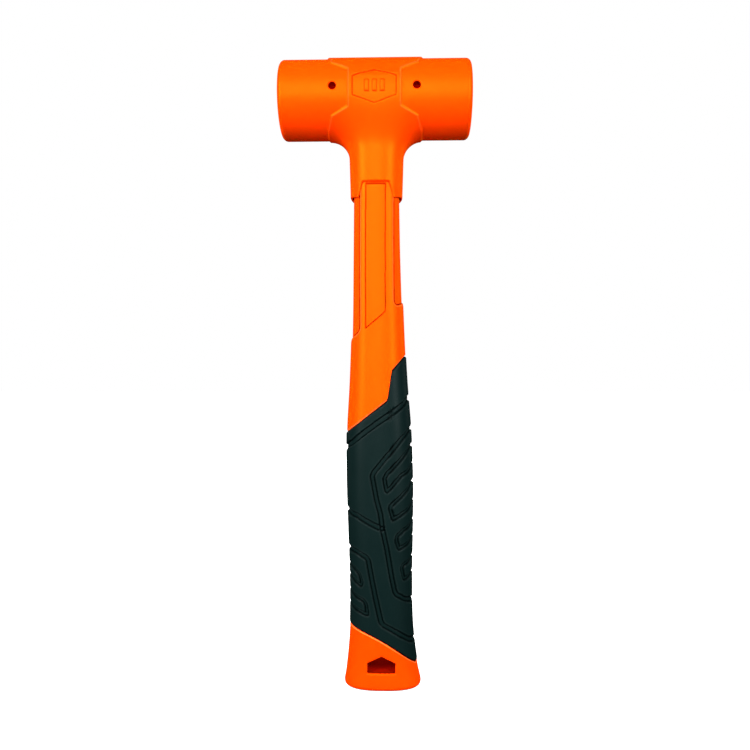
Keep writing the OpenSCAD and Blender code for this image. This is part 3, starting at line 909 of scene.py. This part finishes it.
# Steels: dark and light tones, lowest and highest roughness, and the stretch of their marks
STEELS = {
    "canister_steel": ((0.36, 0.37, 0.38), (0.62, 0.63, 0.64), 0.22, 0.38, (0.05, 1, 1)),
    "core_steel": ((0.28, 0.29, 0.30), (0.52, 0.53, 0.55), 0.28, 0.45, (1, 1, 0.05)),
    "shot_steel": ((0.50, 0.51, 0.52), (0.72, 0.73, 0.74), 0.10, 0.22, (1, 1, 1)),
}

# Reach of the occlusion test that places the painted shade in nooks
NOOK_REACH = 2 * MM


def new_material(name):
    """A material with its node tree, its surface shader and a helper that adds and links nodes."""
    material = bpy.data.materials.new(name)
    material.use_nodes = True
    tree = material.node_tree
    shader = tree.nodes["Principled BSDF"]

    def add(kind, inputs=None, **settings):
        node = tree.nodes.new(kind)
        for key, value in settings.items():
            setattr(node, key, value)
        for key, value in (inputs or {}).items():
            if isinstance(value, bpy.types.NodeSocket):
                tree.links.new(value, node.inputs[key])
            else:
                node.inputs[key].default_value = value
        return node

    place = add("ShaderNodeTexCoord").outputs["Object"]
    return material, tree, shader, add, place


def ramp(add, source, stops):
    node = add("ShaderNodeValToRGB", {"Fac": source})
    elements = node.color_ramp.elements
    while len(elements) < len(stops):
        elements.new(0.5)
    for element, (position, color) in zip(elements, stops):
        element.position = position
        element.color = (*color, 1)
    return node.outputs["Color"]


def noise(add, place, scale, detail, roughness=0.5):
    inputs = {"Vector": place, "Scale": scale, "Detail": detail, "Roughness": roughness}
    return add("ShaderNodeTexNoise", inputs).outputs["Fac"]


def remap(add, value, **ends):
    """A value moved from one range to another, with the ends named as in from_min=0.1."""
    inputs = {key.replace("_", " ").title(): end for key, end in ends.items()}
    return add("ShaderNodeMapRange", {"Value": value, **inputs}).outputs["Result"]


def blend(add, share, first, second):
    """The first colour where the share is 0 and the second where it is 1."""
    return add("ShaderNodeMixRGB", {"Fac": share, "Color1": first, "Color2": second}).outputs["Color"]


def bump(add, height, strength, distance, normal=None):
    """Normals that follow a height, laid over other normals where those are given."""
    inputs = {"Height": height, "Strength": strength, "Distance": distance}
    if normal is not None:
        inputs["Normal"] = normal
    return add("ShaderNodeBump", inputs).outputs["Normal"]


def painted_light_tint(add, base, nook_shade, seam, hole, edge_highlight):
    """The base colour with light and shade painted in: painted shade in the nook colour where little light
    reaches, painted shade in the seam colour where the painted light value is 0.5, on to the hole colour
    where it is 1, and a painted highlight in the edge colour where it is -1. Also gives the share of
    open surface."""
    open_sky = add("ShaderNodeAmbientOcclusion", {"Distance": NOOK_REACH}, samples=6).outputs["AO"]
    clear = remap(add, open_sky, from_min=0.1, from_max=0.65)
    mark = add("ShaderNodeAttribute", attribute_name="painted_light").outputs["Fac"]
    unmarked = remap(add, mark, from_max=0.5, to_min=1.0, to_max=0.0)
    deep = remap(add, mark, from_min=0.5, from_max=1.0)
    highlight_share = remap(add, mark, from_max=-1.0)
    # Painted shade where little light reaches
    color = blend(add, clear, (*nook_shade, 1), base)
    # Painted shade in lines and at seams
    color = blend(add, unmarked, (*seam, 1), color)
    # Painted shade in holes
    color = blend(add, deep, color, (*hole, 1))
    # Painted highlight along edges
    color = blend(add, highlight_share, color, (*edge_highlight, 1))
    lit = add("ShaderNodeMath", {0: clear, 1: unmarked}, operation="MULTIPLY").outputs[0]
    return color, lit


def add_sheen(tree, shader, add, color, share, roughness, normal):
    """A weak tinted reflection laid over the surface's own colour, faded out where painted shade lies in
    nooks, lines and holes.
    """
    tint = blend(add, share, (0, 0, 0, 1), (*color, 1))
    sheen = add("ShaderNodeBsdfAnisotropic", {"Color": tint, "Roughness": roughness, "Normal": normal})
    both = add("ShaderNodeAddShader", {0: shader.outputs[0], 1: sheen.outputs[0]})
    tree.links.new(both.outputs[0], tree.nodes["Material Output"].inputs["Surface"])


def moulded_cover():
    """Orange cast polyurethane: satin, faintly mottled, a little translucent, with a fine mould grain."""
    material, tree, shader, add, place = new_material("moulded_cover")
    base = ramp(add, noise(add, place, 45.0, 3.0, 0.55), [(0.3, ORANGE_DARK), (0.7, ORANGE_LIGHT)])
    # Painted shade in nooks, lines and holes, and painted highlights along edges
    base, share = painted_light_tint(add, base, ORANGE_NOOK_SHADE, ORANGE_LINE_SHADE, ORANGE_HOLE_SHADE, ORANGE_EDGE_HIGHLIGHT)
    # Painted shade on the rim that turns away from the eye
    edge_on = add("ShaderNodeLayerWeight", {"Blend": 0.5}).outputs["Facing"]
    base = blend(add, remap(add, edge_on, from_min=0.68, to_max=0.7), base, (*ORANGE_RIM_SHADE, 1))
    tree.links.new(base, shader.inputs["Base Color"])
    shader.inputs["Subsurface Weight"].default_value = 0.2
    shader.inputs["Subsurface Radius"].default_value = (1.0, 0.12, 0.02)
    shader.inputs["Subsurface Scale"].default_value = 0.0008
    shader.inputs["Specular IOR Level"].default_value = 0.0
    gloss = remap(add, noise(add, place, 160.0, 4.0), to_min=0.40, to_max=0.48)
    fine = bump(add, noise(add, place, 2600.0, 2.0), 0.10, 0.00004)
    broad = bump(add, noise(add, place, 220.0, 1.0), 0.12, 0.0002, fine)
    tree.links.new(broad, shader.inputs["Normal"])
    add_sheen(tree, shader, add, ORANGE_SHEEN, share, gloss, broad)
    return material


def soft_grip():
    """Green-black soft rubber with a fine matt texture, a painted highlight along the edges of its grooves
    and painted shade in them.
    """
    material, tree, shader, add, place = new_material("soft_grip")
    base = ramp(add, noise(add, place, 60.0, 4.0), [(0.3, RUBBER_DARK), (0.7, RUBBER_LIGHT)])
    # Painted shade in nooks, lines and holes, and painted highlights along edges
    base, share = painted_light_tint(add, base, RUBBER_NOOK_AND_LINE_SHADE, RUBBER_NOOK_AND_LINE_SHADE, RUBBER_HOLE_SHADE, RUBBER_EDGE_HIGHLIGHT)
    tree.links.new(base, shader.inputs["Base Color"])
    shader.inputs["Specular IOR Level"].default_value = 0.0
    gloss = remap(add, noise(add, place, 900.0, 2.0), to_min=0.34, to_max=0.46)
    grain = add("ShaderNodeTexVoronoi", {"Vector": place, "Scale": 2200.0}).outputs["Distance"]
    texture = bump(add, grain, 0.16, 0.00006)
    tree.links.new(texture, shader.inputs["Normal"])
    add_sheen(tree, shader, add, RUBBER_SHEEN, share, gloss, texture)
    return material


def steel(name, dark, light, low_gloss, high_gloss, stretch):
    """Bare steel with drawing marks that run along one direction."""
    material, tree, shader, add, place = new_material(name)
    drawn = add("ShaderNodeMapping", {"Vector": place, "Scale": stretch}).outputs["Vector"]
    marks = noise(add, drawn, 500.0, 5.0)
    stain = noise(add, place, 70.0, 5.0, 0.65)
    tone = add("ShaderNodeMath", {0: marks, 1: stain}, operation="MULTIPLY").outputs[0]
    tree.links.new(ramp(add, tone, [(0.12, dark), (0.42, light)]), shader.inputs["Base Color"])
    gloss = remap(add, stain, to_min=low_gloss, to_max=high_gloss)
    tree.links.new(gloss, shader.inputs["Roughness"])
    shader.inputs["Metallic"].default_value = 1.0
    tree.links.new(bump(add, marks, 0.2, 0.00003), shader.inputs["Normal"])
    return material


def weld_bead():
    """Weld metal with stacked ripples and straw to blue heat tint."""
    material, tree, shader, add, place = new_material("weld_bead")
    stops = [(0.35, (0.16, 0.15, 0.16)), (0.5, (0.33, 0.25, 0.16)), (0.66, (0.18, 0.22, 0.34))]
    tree.links.new(ramp(add, noise(add, place, 320.0, 3.0), stops), shader.inputs["Base Color"])
    shader.inputs["Metallic"].default_value = 1.0
    shader.inputs["Roughness"].default_value = 0.42
    rings = {"Vector": place, "Scale": 380.0, "Distortion": 2.5, "Detail": 1.0}
    ripple = add("ShaderNodeTexWave", rings, wave_type="RINGS").outputs["Fac"]
    tree.links.new(bump(add, ripple, 0.7, 0.0002), shader.inputs["Normal"])
    return material


def bush_nylon():
    """Natural nylon: waxy, cloudy and faintly translucent."""
    material, tree, shader, add, place = new_material("bush_nylon")
    cloud = noise(add, place, 200.0, 3.0)
    stops = [(0.3, (0.62, 0.59, 0.50)), (0.7, (0.74, 0.71, 0.62))]
    tree.links.new(ramp(add, cloud, stops), shader.inputs["Base Color"])
    shader.inputs["Subsurface Weight"].default_value = 0.2
    shader.inputs["Subsurface Scale"].default_value = 0.001
    shader.inputs["Roughness"].default_value = 0.45
    tree.links.new(bump(add, cloud, 0.1, 0.0001), shader.inputs["Normal"])
    return material


COVER = moulded_cover()
GRIP = soft_grip()
FINISHES = {name: steel(name, *look) for name, look in STEELS.items()}
FINISHES |= {"weld_bead": weld_bead(), "bush_nylon": bush_nylon()}

SLOT_OF_NODE = {row["node"]: row["material_slot"] for row in frame["record"]["subparts"]}
for node, piece in frame["nodes"].items():
    finish = FINISHES.get(SLOT_OF_NODE[node])
    if finish:
        piece.data.materials.clear()
        piece.data.materials.append(finish)


# ---- Visible mouldings ----

add_piece("head_moulding", *head_mesh(), "mallet", COVER, "moulded_cover", "head_cover")
*shape, flat_faces = handle_mesh()
add_piece("handle_moulding", *shape, "mallet", COVER, "moulded_cover", "handle_body", flat_faces)
add_piece("grip_moulding", *grip_mesh(), "mallet", GRIP, "soft_grip", "grip_sleeve")


# ---- Floor, light and camera ----

FLOOR_SIZE = 12
FLOOR_DROP = 0.0004
FLOOR_GLOW = 0.8
SKY_LOW = 0.07
SKY_HIGH = 0.11

# Soft lights, all aimed at one point: place, size and power
LIGHT_TARGET = (0, 0, 0.2)
LIGHTS = {
    "key": ((-0.05, -0.80, 0.52), (0.45, 0.50), 6),
    "low": ((-0.02, -0.80, 0.29), (0.3, 0.12), 1.5),
    "left": ((-0.62, -0.60, 0.46), (0.2, 0.62), 12.3),
    "right": ((0.62, -0.60, 0.46), (0.2, 0.62), 10),
    "back": ((0.1, 0.95, 0.62), (0.8, 0.7), 10),
    "back_left": ((-0.75, 0.45, 0.4), (0.3, 0.8), 3),
    "back_right": ((0.75, 0.45, 0.4), (0.3, 0.8), 3),
}

CAMERA_TURN = math.radians(1.6)
CAMERA_REACH = 0.3475
CAMERA_HEIGHT = 0.1483
CAMERA_SIDE = -0.00058
CAMERA_LENS = 34.47


def pale_floor():
    """A wide white floor that stays white to the eye and only darkens softly round the butt."""
    bpy.ops.mesh.primitive_plane_add(size=FLOOR_SIZE, location=(0, 0, -FLOOR_DROP))
    floor = bpy.context.active_object
    floor.name = "floor"
    material, tree, shader, add, place = new_material("pale_floor")
    shader.inputs["Roughness"].default_value = 1.0
    shader.inputs["Specular IOR Level"].default_value = 0.0
    seen = add("ShaderNodeLightPath").outputs["Is Camera Ray"]
    tone = ramp(add, seen, [(0.0, (0.08, 0.08, 0.08)), (1.0, (0.7, 0.7, 0.7))])
    tree.links.new(tone, shader.inputs["Base Color"])
    away = add("ShaderNodeVectorMath", {0: place}, operation="LENGTH").outputs["Value"]
    fade = remap(add, away, from_min=0.15, from_max=0.8, to_min=FLOOR_GLOW)
    glow = add("ShaderNodeMath", {0: seen, 1: fade}, operation="MULTIPLY")
    shader.inputs["Emission Color"].default_value = (1, 1, 1, 1)
    tree.links.new(glow.outputs[0], shader.inputs["Emission Strength"])
    floor.data.materials.append(material)


def studio_world():
    """White behind the mallet. The light it sheds is brightest from above and dims towards the floor."""
    world = bpy.data.worlds.new("studio")
    world.use_nodes = True
    tree = world.node_tree
    background = tree.nodes["Background"]
    seen = tree.nodes.new("ShaderNodeLightPath")
    place = tree.nodes.new("ShaderNodeTexCoord")
    split = tree.nodes.new("ShaderNodeSeparateXYZ")
    fade = tree.nodes.new("ShaderNodeMapRange")
    fade.inputs["From Min"].default_value = -0.3
    fade.inputs["From Max"].default_value = 0.9
    fade.inputs["To Min"].default_value = SKY_LOW
    fade.inputs["To Max"].default_value = SKY_HIGH
    pick = tree.nodes.new("ShaderNodeMix")
    tree.links.new(place.outputs["Generated"], split.inputs[0])
    tree.links.new(split.outputs["Z"], fade.inputs["Value"])
    tree.links.new(seen.outputs["Is Camera Ray"], pick.inputs[0])
    tree.links.new(fade.outputs["Result"], pick.inputs[2])
    pick.inputs[3].default_value = 1.0
    tree.links.new(pick.outputs[0], background.inputs["Strength"])
    background.inputs["Color"].default_value = (1, 1, 1, 1)
    bpy.context.scene.world = world


def soft_light(name, place, size, power):
    data = bpy.data.lights.new(name, "AREA")
    data.shape = "RECTANGLE"
    data.size, data.size_y = size
    data.energy = power
    light = bpy.data.objects.new(name, data)
    light.location = place
    light.rotation_euler = (Vector(LIGHT_TARGET) - Vector(place)).to_track_quat("-Z", "Y").to_euler()
    bpy.context.scene.collection.objects.link(light)


def front_camera():
    data = bpy.data.cameras.new("camera")
    data.lens = CAMERA_LENS
    data.sensor_width = 36
    data.clip_start = 0.01
    camera = bpy.data.objects.new("camera", data)
    away = Vector((math.sin(CAMERA_TURN), -math.cos(CAMERA_TURN), 0))
    aside = Vector((math.cos(CAMERA_TURN), math.sin(CAMERA_TURN), 0))
    camera.location = away * CAMERA_REACH + aside * CAMERA_SIDE + Vector((0, 0, CAMERA_HEIGHT))
    camera.rotation_euler = (math.pi / 2, 0, CAMERA_TURN)
    bpy.context.scene.collection.objects.link(camera)
    bpy.context.scene.camera = camera


pale_floor()
studio_world()
for light_name, light_look in LIGHTS.items():
    soft_light(light_name, *light_look)
front_camera()
bpy.context.scene.view_settings.view_transform = "Standard"
